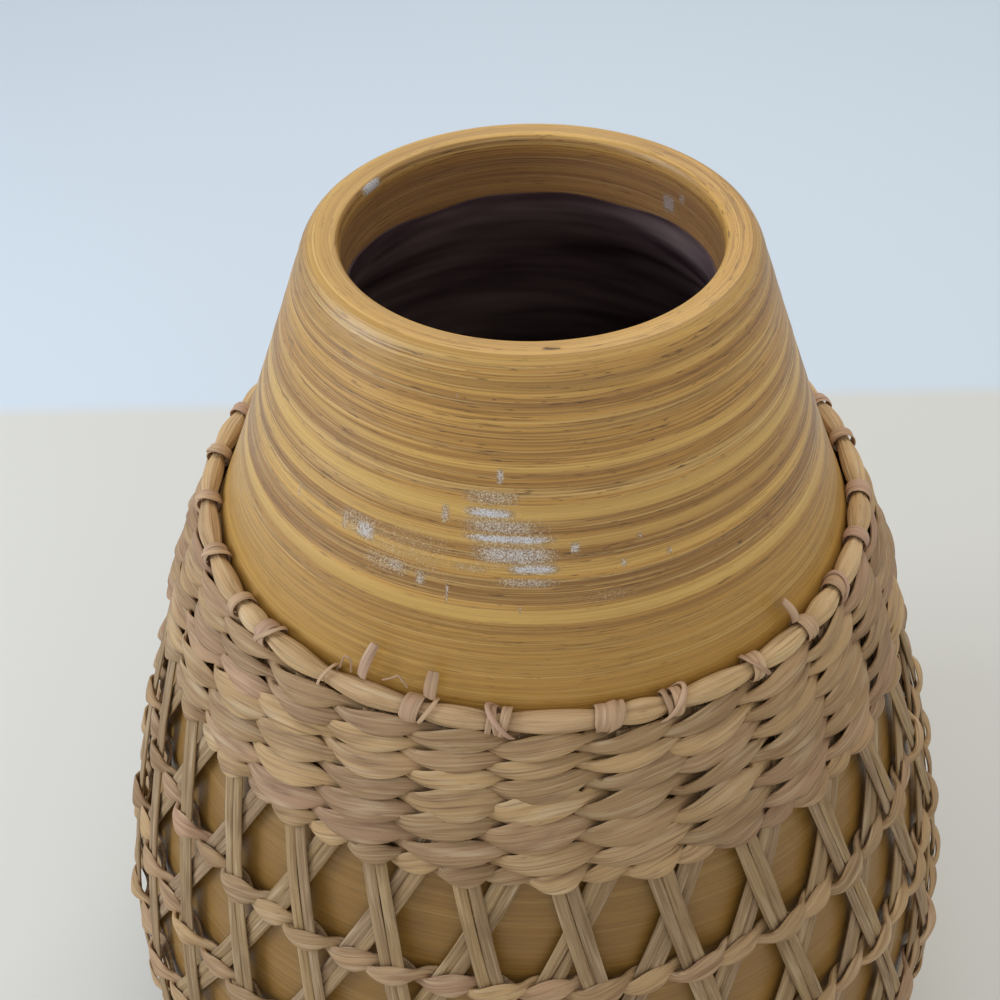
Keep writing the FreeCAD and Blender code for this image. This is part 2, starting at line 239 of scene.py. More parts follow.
def spun_bamboo(name, scuffed):
    """Spun bamboo, turned and sealed: rings of fine fibre with a satin gloss. It is paler or darker where the
    band attribute says, smoother where it is pale, and browner low on the neck. The band attribute also holds
    a painted highlight on the lip, and under the sleeve the bamboo is darkened as painted shade. Where it is
    scuffed, chalky specks and torn fibre follow their attributes, and a brownish lacquer haze with painted
    shade darkens the mouth where its attribute says."""
    material, tree = new_material(name)
    corner = add(tree, "ShaderNodeTexCoord").outputs["Object"]
    split = add(tree, "ShaderNodeSeparateXYZ", {0: corner})
    height = split.outputs["Z"]
    way = add(tree, "ShaderNodeAttribute", attribute_name="way").outputs["Fac"]
    along_rings = {0: split.outputs["X"], 1: split.outputs["Y"], 2: way}
    place = add(tree, "ShaderNodeCombineXYZ", along_rings).outputs[0]
    band = add(tree, "ShaderNodeAttribute", attribute_name="band").outputs["Fac"]
    base = blended(tree, "#BE8E42", "#DDB968", band, 0.0, 0.9, 0.7)
    base = blended(tree, base, "#825A28", band, 0.0, -0.9, 0.7)
    layers = (
        (500 * mm, 11.0 * mm, 0.42, 0.62, 0.35, "#A0763A"),
        (420 * mm, 4.2 * mm, 0.47, 0.60, 0.45, "#94682F"),
        (600 * mm, 3.4 * mm, 0.55, 0.66, 0.55, "#DDBA76"),
        (160 * mm, 1.6 * mm, 0.52, 0.64, 0.50, "#80592A"),
        (70 * mm, 0.50 * mm, 0.46, 0.60, 0.60, "#7C5526"),
        (60 * mm, 0.42 * mm, 0.54, 0.68, 0.38, "#DCBE7C"),
        (26 * mm, 0.36 * mm, 0.56, 0.66, 0.60, "#74501F"),
        (7 * mm, 0.40 * mm, 0.63, 0.70, 0.75, "#4F3316"),
        (3.5 * mm, 0.45 * mm, 0.67, 0.73, 0.65, "#402911"),
    )
    tint = blended(tree, streaked(tree, place, base, layers), base, band, 0.1, 0.7, 0.6)
    tint = blended(tree, tint, "#AC8338", height, 250 * mm, 236 * mm, 0.5)
    # Painted shade: the wall under the sleeve is darkened, as the sleeve shades it.
    tint = blended(tree, tint, "#68471A", height, 222 * mm, 205 * mm, 0.55)
    if scuffed:
        # Inside the mouth: a brownish lacquer haze with painted shade, deeper into the mouth.
        stain = add(tree, "ShaderNodeAttribute", attribute_name="stain").outputs["Fac"]
        tint = gouged(tree, place, chalky(tree, corner, tint))
        tint = blended(tree, tint, "#7D5A40", stain, 0.0, 1.0)
    rough = add(tree, "ShaderNodeTexNoise", {"Vector": place, "Scale": 0.9 / mm, "Detail": 2.0})
    gloss = add(tree, "ShaderNodeMapRange", {"Value": rough.outputs["Fac"], "To Min": 0.33, "To Max": 0.55})
    shader = add(
        tree,
        "ShaderNodeBsdfPrincipled",
        {
            "Base Color": tint,
            "Roughness": gloss.outputs["Result"],
            "Normal": ridged(tree, place, 40 * mm, 0.7 * mm, 0.12 * mm),
            "IOR": 1.45,
            "Specular IOR Level": 0.6,
        },
    )
    add(tree, "ShaderNodeOutputMaterial", {"Surface": shader.outputs[0]})
    return material


def chalky(tree, corner, tint):
    """The tint under chalky specks of 0.36 mm. They show where the sum of grit and the scuff attribute is
    high, straw where the scuff is faint and white where it is strong. Round them the bamboo is worn brown."""
    scuff = add(tree, "ShaderNodeAttribute", attribute_name="scuff").outputs["Fac"]
    grain = {"Vector": corner, "Scale": 1 / (0.36 * mm), "Detail": 4.0, "Roughness": 0.7}
    grit = add(tree, "ShaderNodeTexNoise", grain).outputs["Fac"]
    raised = add(tree, "ShaderNodeMath", {0: grit, 1: scuff}, operation="ADD").outputs[0]
    powder = blended(tree, "#DCC8A4", "#CFD1D5", scuff, 0.58, 0.69)
    worn = blended(tree, tint, "#72573F", scuff, 0.47, 0.62, 0.7)
    return blended(tree, worn, powder, raised, 1.03, 1.26, 0.88)


def gouged(tree, place, tint):
    """The tint under dark torn fibre, 3 mm long and 0.4 mm wide, where the sum of its noise and the nick
    attribute is high."""
    nick = add(tree, "ShaderNodeAttribute", attribute_name="nick").outputs["Fac"]
    torn = fibrous(tree, place, 3 * mm, 0.4 * mm)
    raised = add(tree, "ShaderNodeMath", {0: torn, 1: nick}, operation="ADD").outputs[0]
    return blended(tree, tint, "#3A2410", raised, 0.95, 1.15, 0.9)


def marked(angle, height, marks):
    """How strongly each point is marked. A mark is a soft rectangle: its direction right of the front in
    degrees, its height, its half length round the wall, its half height, and its strength."""
    total = np.zeros(np.broadcast(angle, height).shape)
    radius = cubic(outside_stations, height)[0]
    for direction, level, half_length, half_height, strength in marks:
        around = np.angle(np.exp(1j * (angle - front - math.radians(direction)))) * radius
        reach = np.abs(around / half_length) ** 4 + np.abs((height - level) / half_height) ** 4
        total = np.maximum(total, strength * np.exp(-reach))
    return total


wall_columns = 384
neck_top = vase_height - lip_outer_rounding
foot_side = (float(cubic(outside_stations, foot_rounding)[0]), foot_rounding)
neck_end = (float(cubic(outside_stations, neck_top)[0]), neck_top)
crest_outside = (rim_radius - lip_outer_rounding / 2, vase_height)
crest_inside = (mouth_radius + lip_inner_rounding, vase_height)
mouth_top = (mouth_radius, vase_height - lip_inner_rounding)
wall_inside = inside_stations(0.0)
outline = np.concatenate(
    [
        bend((foot_radius - foot_rounding, 0), (foot_radius, 0), foot_side, 7),
        profile_points(outside_stations, np.linspace(foot_rounding, collar_height, 42)),
        profile_points(outside_stations, np.linspace(collar_height, neck_top, 112)),
        bend(neck_end, (rim_radius, vase_height), crest_outside, 12),
        between(crest_outside, crest_inside, 0.35 * mm),
        bend(crest_inside, (mouth_radius, vase_height), mouth_top, 9),
        between(mouth_top, (mouth_radius, mouth_end), 1.3 * mm),
        profile_points(wall_inside, np.linspace(mouth_end, floor_thickness, 40)),
        between((wall_inside[0][1], floor_thickness), (seat_radius, floor_thickness), 4 * mm),
        between((seat_radius, floor_thickness), (seat_radius, 0), 3 * mm),
    ]
)
outline = distinct(outline)
outline_way = travelled(outline)
wall_angle = directions(wall_columns)
wall_height = outline[:, 1:]
# The outside ends 12 rows past the outer edge of the lip's flat, just over its inner edge.
crest_rows = 12
past_crest = np.arange(len(outline))[:, None] - np.argmax(outline[:, 1]) - crest_rows
outer_side = past_crest < 0
inner_side = (past_crest > 0) & (outline[:, :1] < mouth_radius + 1 * mm)
# Scuffs, smears and nicks are marks. A band is a ring's height, half height and tone, from -1 for dark to 1
# for pale.
scuffs = (
    (-9.8, 268.7 * mm, 7.4 * mm, 1.5 * mm, 0.71),
    (-6.0, 263.4 * mm, 13.2 * mm, 1.1 * mm, 0.73),
    (-1.5, 257.3 * mm, 7.6 * mm, 1.5 * mm, 0.71),
    (-5.0, 260.2 * mm, 12.8 * mm, 2.7 * mm, 0.66),
    (-7.5, 266.0 * mm, 11.6 * mm, 2.3 * mm, 0.63),
    (-9.5, 272.0 * mm, 9.0 * mm, 2.4 * mm, 0.60),
    (-2.5, 254.4 * mm, 9.6 * mm, 1.6 * mm, 0.62),
    (-13.0, 256.8 * mm, 7.0 * mm, 1.8 * mm, 0.55),
    (-36.0, 259.5 * mm, 8.0 * mm, 4.0 * mm, 0.57),
    (-29.0, 253.5 * mm, 9.0 * mm, 3.0 * mm, 0.56),
    (-8.0, 276.5 * mm, 1.3 * mm, 2.4 * mm, 0.66),
    (6.2, 261.5 * mm, 1.9 * mm, 1.9 * mm, 0.66),
    (15.0, 256.8 * mm, 1.4 * mm, 1.5 * mm, 0.66),
    (24.0, 256.8 * mm, 1.1 * mm, 1.4 * mm, 0.64),
    (18.6, 261.8 * mm, 1.4 * mm, 1.3 * mm, 0.62),
    (-18.5, 267.5 * mm, 1.5 * mm, 3.0 * mm, 0.64),
    (-17.0, 250.5 * mm, 0.9 * mm, 3.4 * mm, 0.66),
    (-34.4, 258.6 * mm, 3.8 * mm, 2.8 * mm, 0.67),
    (-27.2, 253.7 * mm, 4.0 * mm, 2.2 * mm, 0.62),
    (-22.0, 252.5 * mm, 1.5 * mm, 2.4 * mm, 0.64),
    (-39.3, 258.5 * mm, 1.1 * mm, 3.2 * mm, 0.62),
    (-52.5, 258.0 * mm, 1.1 * mm, 2.8 * mm, 0.62),
    (-17.9, 291.8 * mm, 0.8 * mm, 0.9 * mm, 0.64),
    (-13.6, 286.5 * mm, 0.7 * mm, 1.6 * mm, 0.56),
    (-25.0, 258.5 * mm, 18.0 * mm, 8.5 * mm, 0.51),
    (12.0, 250.5 * mm, 9.0 * mm, 2.6 * mm, 0.50),
    (-5.5, 262.5 * mm, 14.0 * mm, 8.6 * mm, 0.56),
    (-4.0, 248.5 * mm, 1.0 * mm, 1.6 * mm, 0.62),
    (0.5, 244.5 * mm, 0.6 * mm, 2.4 * mm, 0.60),
)
bands = (
    (299.2 * mm, 0.9 * mm, 0.3),
    (294.0 * mm, 2.2 * mm, 0.3),
    (291.3 * mm, 0.7 * mm, -0.4),
    (287.0 * mm, 1.5 * mm, 0.2),
    (282.0 * mm, 1.2 * mm, -0.25),
    (278.3 * mm, 0.9 * mm, 0.6),
    (274.0 * mm, 1.6 * mm, -0.5),
    (269.0 * mm, 2.0 * mm, 0.8),
    (265.8 * mm, 1.6 * mm, -0.6),
    (262.8 * mm, 1.3 * mm, 0.6),
    (260.2 * mm, 1.3 * mm, -0.6),
    (257.2 * mm, 1.3 * mm, 0.5),
    (254.2 * mm, 1.0 * mm, -0.9),
    (251.6 * mm, 2.0 * mm, -0.6),
    (247.0 * mm, 1.7 * mm, 0.8),
    (242.5 * mm, 2.5 * mm, -0.2),
    (236.5 * mm, 1.2 * mm, 0.15),
    (229.8 * mm, 1.4 * mm, 0.45),
)
mouth_smears = (
    (-121.0, 298.2 * mm, 6.0 * mm, 2.0 * mm, 0.74),
    (128.0, 289.5 * mm, 4.0 * mm, 3.6 * mm, 0.70),
    (122.0, 292.5 * mm, 2.4 * mm, 2.2 * mm, 0.66),
)
nicks = (
    (13.0, 296.4 * mm, 5.0 * mm, 0.35 * mm, 0.62),
    (31.0, 296.0 * mm, 4.0 * mm, 0.35 * mm, 0.62),
    (-30.0, 296.6 * mm, 2.0 * mm, 0.4 * mm, 0.6),
    (20.0, 292.0 * mm, 4.5 * mm, 0.35 * mm, 0.6),
)
# A brownish lacquer haze with painted shade darkens the mouth from 1 mm below the rim on, and is full 5 mm
# further down.
stain_strength = 0.62
wall_stain = stain_strength * inner_side * np.clip((vase_height - 1 * mm - wall_height) / (5 * mm), 0, 1)
wall_scuff = marked(wall_angle, wall_height, scuffs) * outer_side
wall_scuff = wall_scuff + marked(wall_angle, wall_height, mouth_smears) * ~outer_side
# The rings aren't quite level, because the coil rises a little and was never quite round.
coiled = wall_height + 0.5 * mm * np.sin(wall_angle - front) + 0.25 * mm * np.sin(3 * wall_angle + 1)
wall_band = np.zeros_like(coiled)
for level, half_height, tone in bands:
    wall_band = wall_band + tone * np.exp(-(((coiled - level) / half_height) ** 4))
# The top of the lip is made paler and smoother: a painted highlight, added to the bands.
lip_highlight_strength = 0.24
lip_highlight = lip_highlight_strength * np.exp(-(((wall_height - vase_height) / (2 * mm)) ** 4))
wall_nick = marked(wall_angle, wall_height, nicks) * outer_side
# One short slot is torn out of the flat of the lip, at the front.
slot_radius = 47.5 * mm
slot_half_length = 2.2 * mm
slot_half_width = 0.42 * mm
slot_depth = 0.3 * mm
slot_direction = math.radians(3)
slot_around = np.angle(np.exp(1j * (wall_angle - front - slot_direction))) * slot_radius
slot_reach = (slot_around / slot_half_length) ** 4 + ((outline[:, :1] - slot_radius) / slot_half_width) ** 4
lip_slot = np.exp(-slot_reach) * (wall_height > vase_height - 0.01 * mm)
# The lathe leaves shallow marks, 1.7 mm apart down the profile.
turning_step = 1.7 * mm
turning_depth = 0.05 * mm
turning_ways = np.arange(0, 1, turning_step)
turning_marks = np.interp(outline_way, turning_ways, random.normal(0, turning_depth, len(turning_ways)))
nick_depth = 0.5 * mm
wall_radius = outline[:, :1] + turning_marks[:, None] - nick_depth * wall_nick
vase = new_piece(
    "bamboo_vase",
    turned(wall_radius, wall_height - slot_depth * lip_slot, wall_columns),
    spun_bamboo("spun bamboo, turned and sealed", True),
    ring=True,
    way=outline_way[:, None],
    scuff=wall_scuff,
    nick=np.maximum(wall_nick, lip_slot),
    stain=wall_stain,
    band=wall_band * outer_side + lip_highlight,
)
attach(vase, "root")
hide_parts("bamboo_wall")

# The base is a flat disc coiled from the same strips and glued inside the foot ring. Its coil shows as rings
# round the centre, and its edges are eased.
disc_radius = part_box("base_disc")[1][0]
disc_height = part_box("base_disc")[1][2]
disc_easing = 0.6 * mm
disc_columns = 128
pole_radius = 0.2 * mm
disc_flat_radius = disc_radius - disc_easing
disc_side_top = disc_height - disc_easing
disc_top_edge = (disc_flat_radius, disc_height)
disc_outline = distinct(
    np.concatenate(
        [
            between((pole_radius, 0), (disc_flat_radius, 0), 2.2 * mm),
            bend((disc_flat_radius, 0), (disc_radius, 0), (disc_radius, disc_easing), 4),
            between((disc_radius, disc_easing), (disc_radius, disc_side_top), 2 * mm),
            bend((disc_radius, disc_side_top), (disc_radius, disc_height), disc_top_edge, 4),
            between(disc_top_edge, (pole_radius, disc_height), 2.2 * mm),
        ]
    )
)
disc = new_piece(
    "coiled_base",
    turned(disc_outline[:, 0], disc_outline[:, 1], disc_columns),
    spun_bamboo("spun bamboo, coiled flat", False),
    way=travelled(disc_outline)[:, None],
)
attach(disc, "root")
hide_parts("base_disc")

# Dark lacquer coats the inside below the mouth. It was brushed on while the vase turned, so its upper edge
# wavers a little and faint rings show in its gloss, with a painted highlight on them.
lacquer_gap = 0.15 * mm
lacquer_thickness = 0.5 * mm
lacquer_columns = 192


def dark_lacquer():
    """Near black lacquer, glossy, with faint brushed rings about 7 mm high that are duller, and paler as a
    painted highlight.
    """
    material, tree = new_material("dark lacquer, brushed")
    corner = add(tree, "ShaderNodeTexCoord").outputs["Object"]
    rings = fibrous(tree, corner, 45.45 * mm, 7 * mm)
    gloss = add(tree, "ShaderNodeMapRange", {"Value": rings, "To Min": 0.22, "To Max": 0.5})
    lift = add(tree, "ShaderNodeBump", {"Height": rings, "Distance": 0.12 * mm})
    # The rings' paler colour is a painted highlight, a sheen in the lacquer.
    shader = add(
        tree,
        "ShaderNodeBsdfPrincipled",
        {
            "Base Color": blended(tree, "#463539", "#8A7675", rings, 0.35, 0.75),
            "Roughness": gloss.outputs["Result"],
            "Normal": lift.outputs["Normal"],
            "IOR": 1.5,
        },
    )
    add(tree, "ShaderNodeOutputMaterial", {"Surface": shader.outputs[0]})
    return material


wall_side = inside_stations(lacquer_gap)
room_side = inside_stations(lacquer_gap + lacquer_thickness)
wall_floor = floor_thickness + lacquer_gap
room_floor = wall_floor + lacquer_thickness
lacquer_outline = np.concatenate(
    [
        between((pole_radius, room_floor), (room_side[0][1], room_floor), 6 * mm)[:-1],
        profile_points(room_side, np.linspace(room_floor, mouth_end, 60)),
        profile_points(wall_side, np.linspace(mouth_end, wall_floor, 60)),
        between((wall_side[0][1], wall_floor), (pole_radius, wall_floor), 6 * mm)[1:],
    ]
)
lacquer_angle = directions(lacquer_columns)
edge_waves = ((0.8 * mm, 2, 1), (0.5 * mm, 5, 0), (0.25 * mm, 11, 0))
edge_wave = sum(size * np.sin(count * lacquer_angle + phase) for size, count, phase in edge_waves)
near_edge = np.exp(-(((lacquer_outline[:, 1:] - mouth_end) / (6 * mm)) ** 2))
lacquer = new_piece(
    "lacquer_coat",
    turned(lacquer_outline[:, 0], lacquer_outline[:, 1:] + near_edge * edge_wave, lacquer_columns),
    dark_lacquer(),
)
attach(lacquer, "root")
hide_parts("lacquer_lining")

# The sleeve starts from stakes: pairs of flat rush blades that run down the wall from the collar to the foot.
# One set leans right as it falls and lies outside, the other leans left and lies inside.
stake_count = 28
spacing = full_turn / stake_count
lattice_tiers = 5
lower_band_rows = 5
rush_gap = 0.2 * mm
blade_width = 3.1 * mm
blade_thickness = 1.2 * mm
pair_gap = 0.2 * mm
band_weft_width = 5.3 * mm
lattice_weft_width = 4.6 * mm
weft_thickness = 1.4 * mm
bundle_radius = 2.6 * mm
bundle_waist_radius = 2.2 * mm
bundle_reach = 3.05 * mm
foot_bundle_rise = 11.0 * mm
outer_lean = math.radians(4.2)
first_stake = math.radians(92.0)
upper_row_shares = np.array((0.8, 0.8, 0.95, 1.2, 1.15, 1.1))

back_weft_out = rush_gap + weft_thickness / 2
inner_stake_out = back_weft_out + weft_thickness / 2 + rush_gap + blade_thickness / 2
outer_stake_out = inner_stake_out + blade_thickness + rush_gap
front_weft_out = outer_stake_out + blade_thickness / 2 + rush_gap + weft_thickness / 2
over_inner_out = inner_stake_out + blade_thickness / 2 + rush_gap + weft_thickness / 2

wall_heights = np.linspace(vase_height, 0, 3001)
wall_radii = cubic(outside_stations, wall_heights)[0]
wall_ways = np.concatenate([[0], np.cumsum(np.hypot(np.diff(wall_heights), np.diff(wall_radii)))])
wall_ways -= np.interp(-collar_height, -wall_heights, wall_ways)
foot_bundle_way = wall_ways[-1] - foot_bundle_rise
upper_row_widths = upper_row_shares * band_weft_width
upper_row_ways = bundle_reach + rush_gap + np.cumsum(upper_row_widths) - upper_row_widths / 2
upper_row_ways += rush_gap * np.arange(len(upper_row_ways))
lattice_start_way = upper_row_ways[-1] + upper_row_widths[-1] / 2 + rush_gap + lattice_weft_width / 2
lower_row_pitch = band_weft_width + rush_gap
lower_band_way = foot_bundle_way - bundle_reach - rush_gap - lower_band_rows * lower_row_pitch
lattice_pitch = (lower_band_way - lattice_weft_width / 2 - lattice_start_way) / lattice_tiers


def on_wall(way, out, angle):
    """Points that far down the wall from the collar and that far out of it, in a direction, and normals."""
    height = np.interp(way, wall_ways, wall_heights)
    radius, slope = cubic(outside_stations, height)
    stretch = np.hypot(1, slope)
    across, rise = 1 / stretch, -slope / stretch
    turn = np.stack(np.broadcast_arrays(np.cos(angle), np.sin(angle), 0 * angle), axis=-1)
    upright = np.array([0.0, 0.0, 1.0])
    points = turn * (radius + out * across)[..., None] + upright * (height + out * rise)[..., None]
    return points, turn * across[..., None] + upright * rise[..., None]


def swept(centre, normal, width, thickness, roll, ring=False, columns=12, crease=0.0, boxy=0.6):
    """Points (tube, row, column, 3) of flat blades along centre lines, with the place across them. A section
    is an oval, width by thickness, squared by the boxy power, creased by a ripple and rolled."""
    if ring:
        along = np.roll(centre, -1, axis=1) - np.roll(centre, 1, axis=1)
    else:
        along = np.gradient(centre, axis=1)
    along /= np.linalg.norm(along, axis=-1, keepdims=True)
    side = np.cross(normal, along)
    side /= np.linalg.norm(side, axis=-1, keepdims=True)
    face = np.cross(along, side)
    roll = np.broadcast_to(roll, centre.shape[:2])[..., None]
    side, face = side * np.cos(roll) + face * np.sin(roll), face * np.cos(roll) - side * np.sin(roll)
    around = full_turn * np.arange(columns) / columns
    across = np.cos(around) * np.broadcast_to(width, centre.shape[:2])[..., None] / 2
    ripple = 1 + crease * np.cos(3 * around + 1)
    bulge = np.sign(np.sin(around)) * np.abs(np.sin(around)) ** boxy * ripple
    up = bulge * np.broadcast_to(thickness, centre.shape[:2])[..., None] / 2
    points = centre[:, :, None] + side[:, :, None] * across[..., None] + face[:, :, None] * up[..., None]
    return points, across


def lengths(centre):
    """Distance along each centre line, by (tube, row, 1)."""
    steps = np.linalg.norm(np.diff(centre, axis=1), axis=-1)
    return np.concatenate([np.zeros((len(centre), 1)), np.cumsum(steps, axis=1)], axis=1)[..., None]


def wander(position, period, waves):
    """A smooth wander, about -1 to 1, that repeats with the period: a few sines of random phase and size."""
    total = 0 * position
    for wave in range(1, waves + 1):
        size, phase = random.normal(0, 0.6), random.uniform(0, 6.3)
        total = total + size * np.sin(full_turn * wave * position / period + phase)
    return total / math.sqrt(waves)


def flattened_rush(name, plain, straw, blush, dark):
    """Dried rush, flattened: a dull greige skin with fine lengthwise fibres. The tone attribute shifts each
    length of it from plain to straw, and some lengths blush."""
    material, tree = new_material(name)
    along = add(tree, "ShaderNodeAttribute", attribute_name="along").outputs["Fac"]
    across = add(tree, "ShaderNodeAttribute", attribute_name="across").outputs["Fac"]
    tone = add(tree, "ShaderNodeAttribute", attribute_name="tone").outputs["Fac"]
    place = add(tree, "ShaderNodeCombineXYZ", {0: along, 1: tone, 2: across}).outputs[0]
    chance = add(tree, "ShaderNodeTexNoise", {"W": tone, "Scale": 9.0}, noise_dimensions="1D")
    tint = blended(tree, plain, straw, tone, 0.0, 1.0)
    tint = blended(tree, tint, blush, chance.outputs["Fac"], 0.5, 0.75, 0.8)
    layers = (
        (16 * mm, 3.5 * mm, 0.50, 0.72, 0.50, dark),
        (20 * mm, 2.5 * mm, 0.56, 0.74, 0.45, "#CBB592"),
        (22 * mm, 0.8 * mm, 0.50, 0.72, 0.60, dark),
        (18 * mm, 0.5 * mm, 0.52, 0.76, 0.36, "#D2BC98"),
        (5 * mm, 0.45 * mm, 0.66, 0.76, 0.45, "#5A4330"),
    )
    shader = add(
        tree,
        "ShaderNodeBsdfPrincipled",
        {
            "Base Color": streaked(tree, place, tint, layers),
            "Roughness": 0.62,
            "Normal": ridged(tree, place, 24 * mm, 0.7 * mm, 0.5 * mm),
            "IOR": 1.45,
            "Specular IOR Level": 0.3,
        },
    )
    add(tree, "ShaderNodeOutputMaterial", {"Surface": shader.outputs[0]})
    return material


def outer_turn(way):
    """How far an outer stake has turned round the vase. It runs straight above and below the lattice."""
    return outer_lean * np.clip((way - lattice_start_way) / lattice_pitch, -0.5, lattice_tiers + 0.5)


def inner_turn(way):
    """How far an inner stake has turned: it loses one stake spacing to the outer ones at every row."""
    tiers = np.clip((way - lattice_start_way) / lattice_pitch, -0.5, lattice_tiers + 0.5)
    return outer_lean * tiers + spacing * (0.5 - tiers)


woven_rush = flattened_rush("rush, flattened and woven", "#907351", "#B8976A", "#AF8A70", "#705238")
stake_rush = flattened_rush("rush, flattened stakes", "#8E7453", "#A1855C", "#987D63", "#6B5036")
stake_rows = 110
stake_way = np.linspace(bundle_reach + rush_gap, foot_bundle_way - bundle_reach - rush_gap, stake_rows)
stake_sets = (("outer", outer_turn, outer_stake_out), ("inner", inner_turn, inner_stake_out))
for set_name, turn_at, stake_out in stake_sets:
    for side, side_name in ((-1, "left"), (1, "right")):
        way = np.broadcast_to(stake_way, (stake_count, stake_rows))
        stake_radius = cubic(outside_stations, np.interp(way, wall_ways, wall_heights))[0] + stake_out
        sway = np.stack([wander(stake_way, 0.25, 6) for _ in range(stake_count)]) * 0.22 * mm
        swell = np.stack([wander(stake_way, 0.25, 9) for _ in range(stake_count)])
        sideways = side * (blade_width + pair_gap) / 2 + sway
        pair_angle = first_stake + spacing * np.arange(stake_count)[:, None] + turn_at(way)
        angle = pair_angle + sideways / stake_radius
        centre, normal = on_wall(way, stake_out + 0.1 * mm * swell, angle)
        blades, across = swept(
            centre,
            normal,
            blade_width * (1.0 + 0.07 * swell),
            blade_thickness * 0.8,
            0.15 * swell,
            crease=0.25,
            boxy=0.45,
        )
        stakes = new_piece(
            f"{set_name}_stakes_{side_name}",
            blades,
            stake_rush,
            along=lengths(centre),
            across=across,
            tone=random.uniform(0, 1, (stake_count, 1, 1)),
        )
        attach(stakes, "root")
        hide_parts(f"{set_name}_stakes_{side_name}_blades")

# Rows of two twined strands of rush hold the stakes. Each strand goes in front of them, crosses the other one
# and goes behind. Where it shows it is broad and flat, and it narrows and rolls over where the two cross.
crossing_width_share = 0.42
crossing_rise_share = 0.26
turned_under_share = 0.8
plateau_share = 1.15
lay_back = math.radians(8)
crossing_roll = math.radians(14)
middle_share = 0.42
# One turn of a strand differs from the next in breadth, lift, height, tilt and timing.
usual_breadth = 1.26
breadth_spread = 0.13
lift_spread = 0.35 * mm
shift_spread = 0.08
tilt_spread = 0.13
timing_spread = 0.035


def eased(values, turn):
    """One value per turn, eased into the next while the strand is behind."""
    share = turn / full_turn
    low = np.floor(share).astype(int)
    step = np.clip((share - low - 0.5) * 4 + 0.5, 0, 1)
    step = step * step * (3 - 2 * step)
    return values[low % len(values)] * (1 - step) + values[(low + 1) % len(values)] * step


def twined_strand(name, way, width, forward, repeats, start, steps, unevenness):
    """A ring of strand. In each turn it goes once in front and once behind: out follows the cosine of the
    turn with flat ends, up follows the sine, and width follows the cosine. Each turn is uneven in its way."""
    turn = full_turn * repeats * np.arange(repeats * steps) / (repeats * steps)
    cosine, sine = np.cos(turn), np.sin(turn)
    breadth = eased(random.normal(usual_breadth, breadth_spread * unevenness, repeats), turn)
    lift = eased(random.uniform(0, lift_spread * unevenness, repeats), turn)
    shift = eased(random.normal(0, shift_spread * unevenness, repeats), turn)
    tilt = eased(random.normal(0, tilt_spread * unevenness, repeats), turn)
    early = eased(random.normal(0, timing_spread * unevenness, repeats), turn) * full_turn / repeats
    full_width = width * breadth
    showing = np.maximum(np.maximum(cosine, 0) ** 0.75, -turned_under_share * cosine)
    local_width = full_width * (crossing_width_share + (1 - crossing_width_share) * showing)
    thickness = weft_thickness * (1.15 - 0.35 * np.abs(cosine))
    down = -crossing_rise_share * width * sine + width * shift * np.abs(cosine)
    level = np.tanh(plateau_share * cosine) / math.tanh(plateau_share)
    out = back_weft_out + (forward - back_weft_out) * ((1 + level) / 2) ** 0.75 + lift * np.maximum(cosine, 0)
    centre, normal = on_wall((way + down)[None], out[None], (start + turn / repeats + early)[None])
    roll = -crossing_roll * sine - lay_back * np.maximum(cosine, 0) + tilt
    section = (local_width[None], thickness[None], roll[None])
    weft, across = swept(centre, normal, *section, ring=True, columns=14, crease=0.2)
    tone = eased(random.uniform(0, 1, repeats), turn)[None, :, None]
    piece = new_piece(name, weft, woven_rush, ring=True, along=lengths(centre), across=across, tone=tone)
    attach(piece, "root")
    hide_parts(name)


def close_start(way):
    """Direction of a close row's first front pass, between an outer stake and the nearest inner one."""
    apart = inner_turn(way) - outer_turn(way)
    nearest = apart - spacing * round(apart / spacing)
    return first_stake + outer_turn(way) + nearest * middle_share


for row, (way, width) in enumerate(zip(upper_row_ways, upper_row_widths)):
    for strand in range(2):
        name = f"upper_row_{row + 1}_strand_{'ab'[strand]}"
        start = close_start(way) + strand * spacing
        twined_strand(name, way, width, front_weft_out, stake_count // 2, start, 44, 1.0)

# Six rows down the lattice are single. Their first strand passes over the outer stakes and the second over
# the inner ones, so each crossing of the stakes is held from both sides.
for row in range(lattice_tiers + 1):
    way = lattice_start_way + row * lattice_pitch
    for strand, forward in enumerate((front_weft_out, over_inner_out)):
        name = f"lattice_row_{row + 1}_strand_{'ab'[strand]}"
        start = first_stake + outer_turn(way) + strand * spacing / 2
        twined_strand(name, way, lattice_weft_width, forward, stake_count, start, 26, 0.8)

# Five close rows gather the stakes again above the foot. They are twined of the same flattened rush as those
# under the collar, two strands to a row.
for row in range(lower_band_rows):
    way = lower_band_way + rush_gap + band_weft_width / 2 + row * lower_row_pitch
    for strand in range(2):
        name = f"lower_row_{row + 1}_strand_{'ab'[strand]}"
        start = close_start(way) + strand * spacing
        twined_strand(name, way, band_weft_width, front_weft_out, stake_count // 2, start, 40, 1.0)

# A round bundle of rush stems lies along the collar and another along the foot. Wraps bind it to the stakes.
# Between them it swells, and the stems' creases draw together at each wrap.
bundle_out = bundle_reach + rush_gap
waist_share = 0.72
straw_rush = flattened_rush("rush stems, bundled", "#BA986A", "#CCAE80", "#C1A07C", "#8C6E48")


